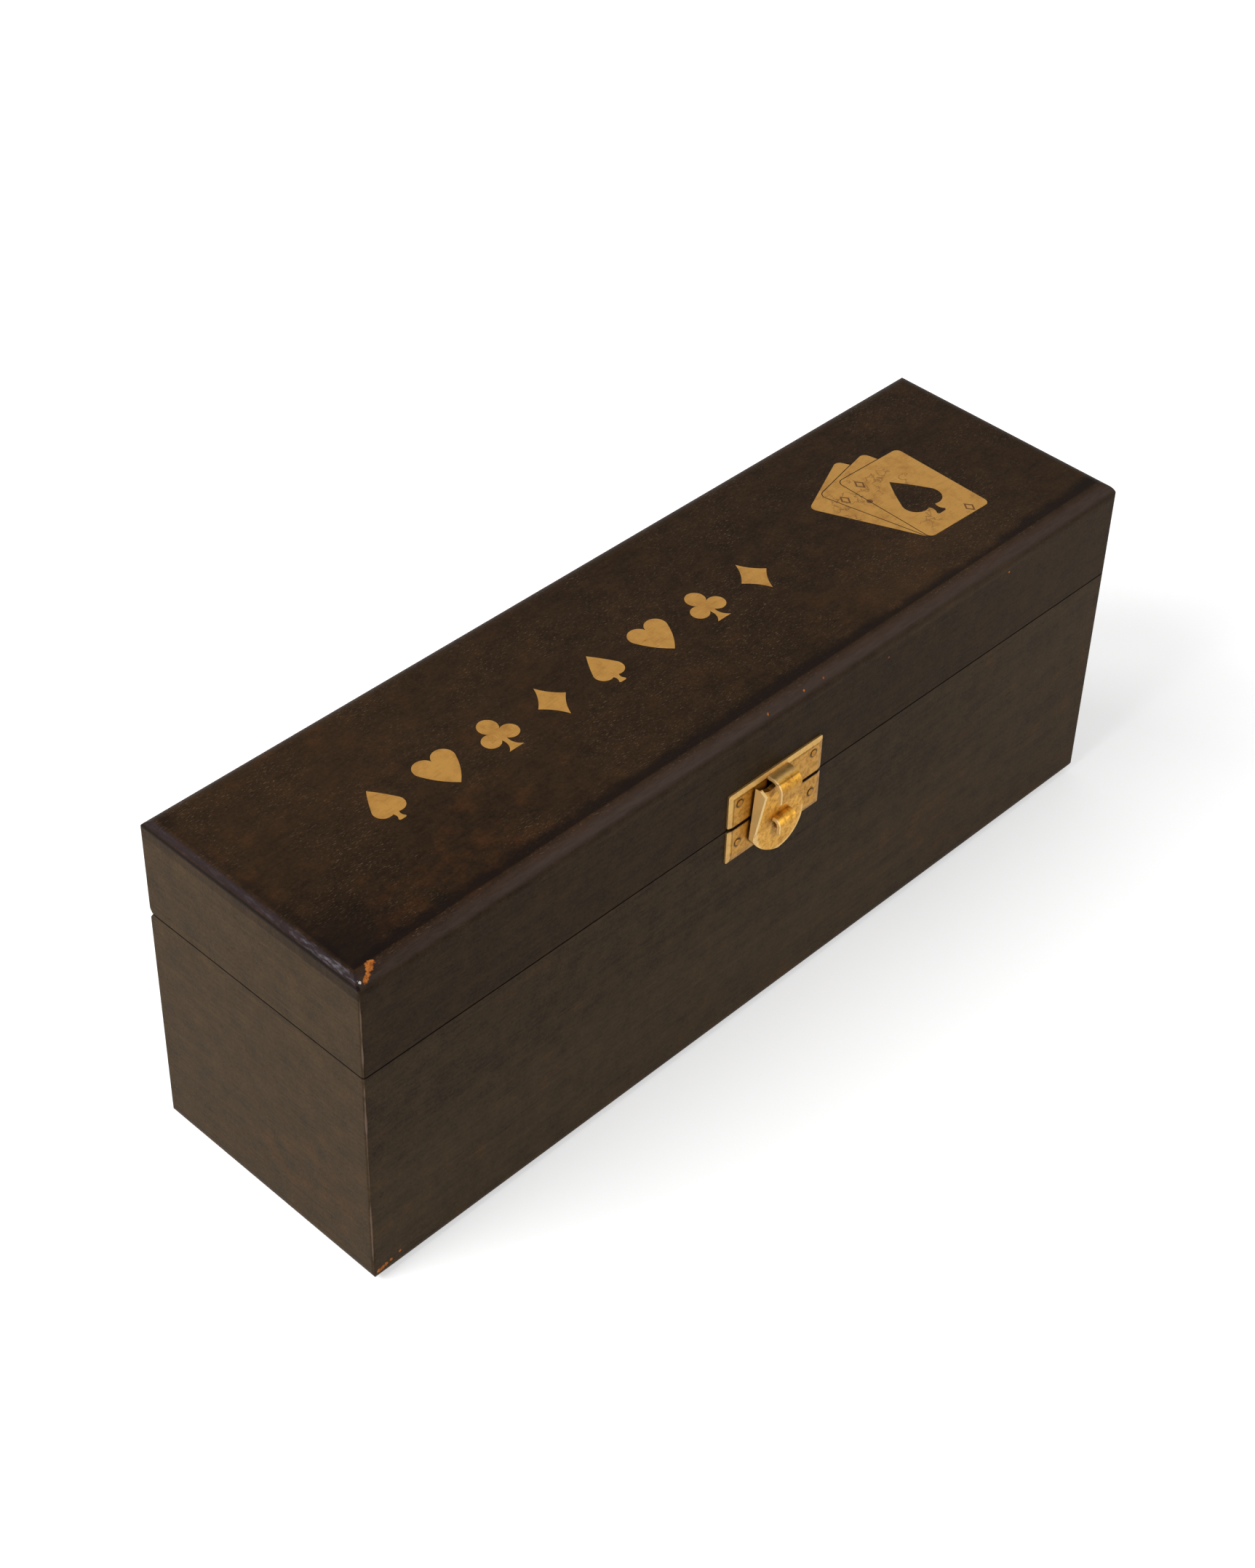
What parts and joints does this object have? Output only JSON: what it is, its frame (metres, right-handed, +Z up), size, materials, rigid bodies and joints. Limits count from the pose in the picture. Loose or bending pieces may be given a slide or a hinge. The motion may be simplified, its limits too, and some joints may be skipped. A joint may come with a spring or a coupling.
{
  "type": "cribbage box with drawer",
  "caption": "Long dark wooden game box with a hinged inlaid lid, brass turn catch, pegging board and pegs inside, and a drawer for cards in its end.",
  "frame": {"origin": "centre of the flat underside of the box", "axes": "+X along the box towards the end with the drawer, -Y out of the front with the catch, +Z up"},
  "size_m": [0.312, 0.0905, 0.112],
  "materials": {
    "stained_wood": "dark stained, satin lacquer with worn edges",
    "inner_wood": "plain oiled wood",
    "brass": "lacquered brass, slightly worn",
    "brass_inlay": "brass sheet let in flush and lacquered over",
    "steel": "bright turned steel",
    "card": "plain card"
  },
  "bodies": {
    "base": {"base_front": "stained_wood", "base_back": "stained_wood", "base_left_end": "stained_wood", "base_right_rail": "stained_wood", "base_bottom": "stained_wood", "cribbage_board": "stained_wood", "catch_lower_plate": "brass", "catch_pins_base": "brass", "catch_rivet": "brass", "hinge_left_base_leaf": "brass", "hinge_right_base_leaf": "brass", "hinge_left_pin": "brass", "hinge_right_pin": "brass", "hinge_screws_base": "brass"},
    "lid": {"lid_top": "stained_wood", "lid_front": "stained_wood", "lid_back": "stained_wood", "lid_left_end": "stained_wood", "lid_right_end": "stained_wood", "inlay_pips": "brass_inlay", "inlay_cards": "brass_inlay", "catch_upper_plate": "brass", "catch_pins_lid": "brass", "hinge_left_lid_leaf": "brass", "hinge_right_lid_leaf": "brass", "hinge_screws_lid": "brass"},
    "hook": {"catch_hook": "brass"},
    "drawer": {"drawer_front": "stained_wood", "drawer_side_front": "inner_wood", "drawer_side_back": "inner_wood", "drawer_back": "inner_wood", "drawer_bottom": "inner_wood", "drawer_divider_1": "inner_wood", "drawer_divider_2": "inner_wood", "drawer_knob": "brass", "drawer_knob_screw": "steel"},
    "deck_1": {"card_deck_1": "card"},
    "deck_2": {"card_deck_2": "card"},
    "peg_1": {"peg_1": "brass"},
    "peg_2": {"peg_2": "brass"},
    "peg_3": {"peg_3": "steel"},
    "peg_4": {"peg_4": "steel"},
    "peg_5": {"peg_5": "brass"},
    "peg_6": {"peg_6": "steel"}
  },
  "joints": [
    {"name": "lid_hinge", "type": "hinge", "parent": "base", "child": "lid", "pos_m": [0, 0.0403, 0.079], "axis": [-1, 0, 0], "range_deg": [0, 110]},
    {"name": "catch_turn", "type": "hinge", "parent": "base", "child": "hook", "pos_m": [0, -0.042, 0.0727], "axis": [0, -1, 0], "range_deg": [0, 65]},
    {"name": "drawer_slide", "type": "slide", "parent": "base", "child": "drawer", "axis": [1, 0, 0], "range_m": [0, 0.24]},
    {"name": "deck_1_lift", "type": "slide", "parent": "drawer", "child": "deck_1", "axis": [0, 0, 1], "range_m": [0, 0.031]},
    {"name": "deck_2_lift", "type": "slide", "parent": "drawer", "child": "deck_2", "axis": [0, 0, 1], "range_m": [0, 0.031]},
    {"name": "peg_1_lift", "type": "slide", "parent": "base", "child": "peg_1", "axis": [0, 0, 1], "range_m": [0, 0.0105]},
    {"name": "peg_2_lift", "type": "slide", "parent": "base", "child": "peg_2", "axis": [0, 0, 1], "range_m": [0, 0.0105]},
    {"name": "peg_3_lift", "type": "slide", "parent": "base", "child": "peg_3", "axis": [0, 0, 1], "range_m": [0, 0.0105]},
    {"name": "peg_4_lift", "type": "slide", "parent": "base", "child": "peg_4", "axis": [0, 0, 1], "range_m": [0, 0.0105]},
    {"name": "peg_5_lift", "type": "slide", "parent": "base", "child": "peg_5", "axis": [0, 0, 1], "range_m": [0, 0.0105]},
    {"name": "peg_6_lift", "type": "slide", "parent": "base", "child": "peg_6", "axis": [0, 0, 1], "range_m": [0, 0.0105]}
  ]
}
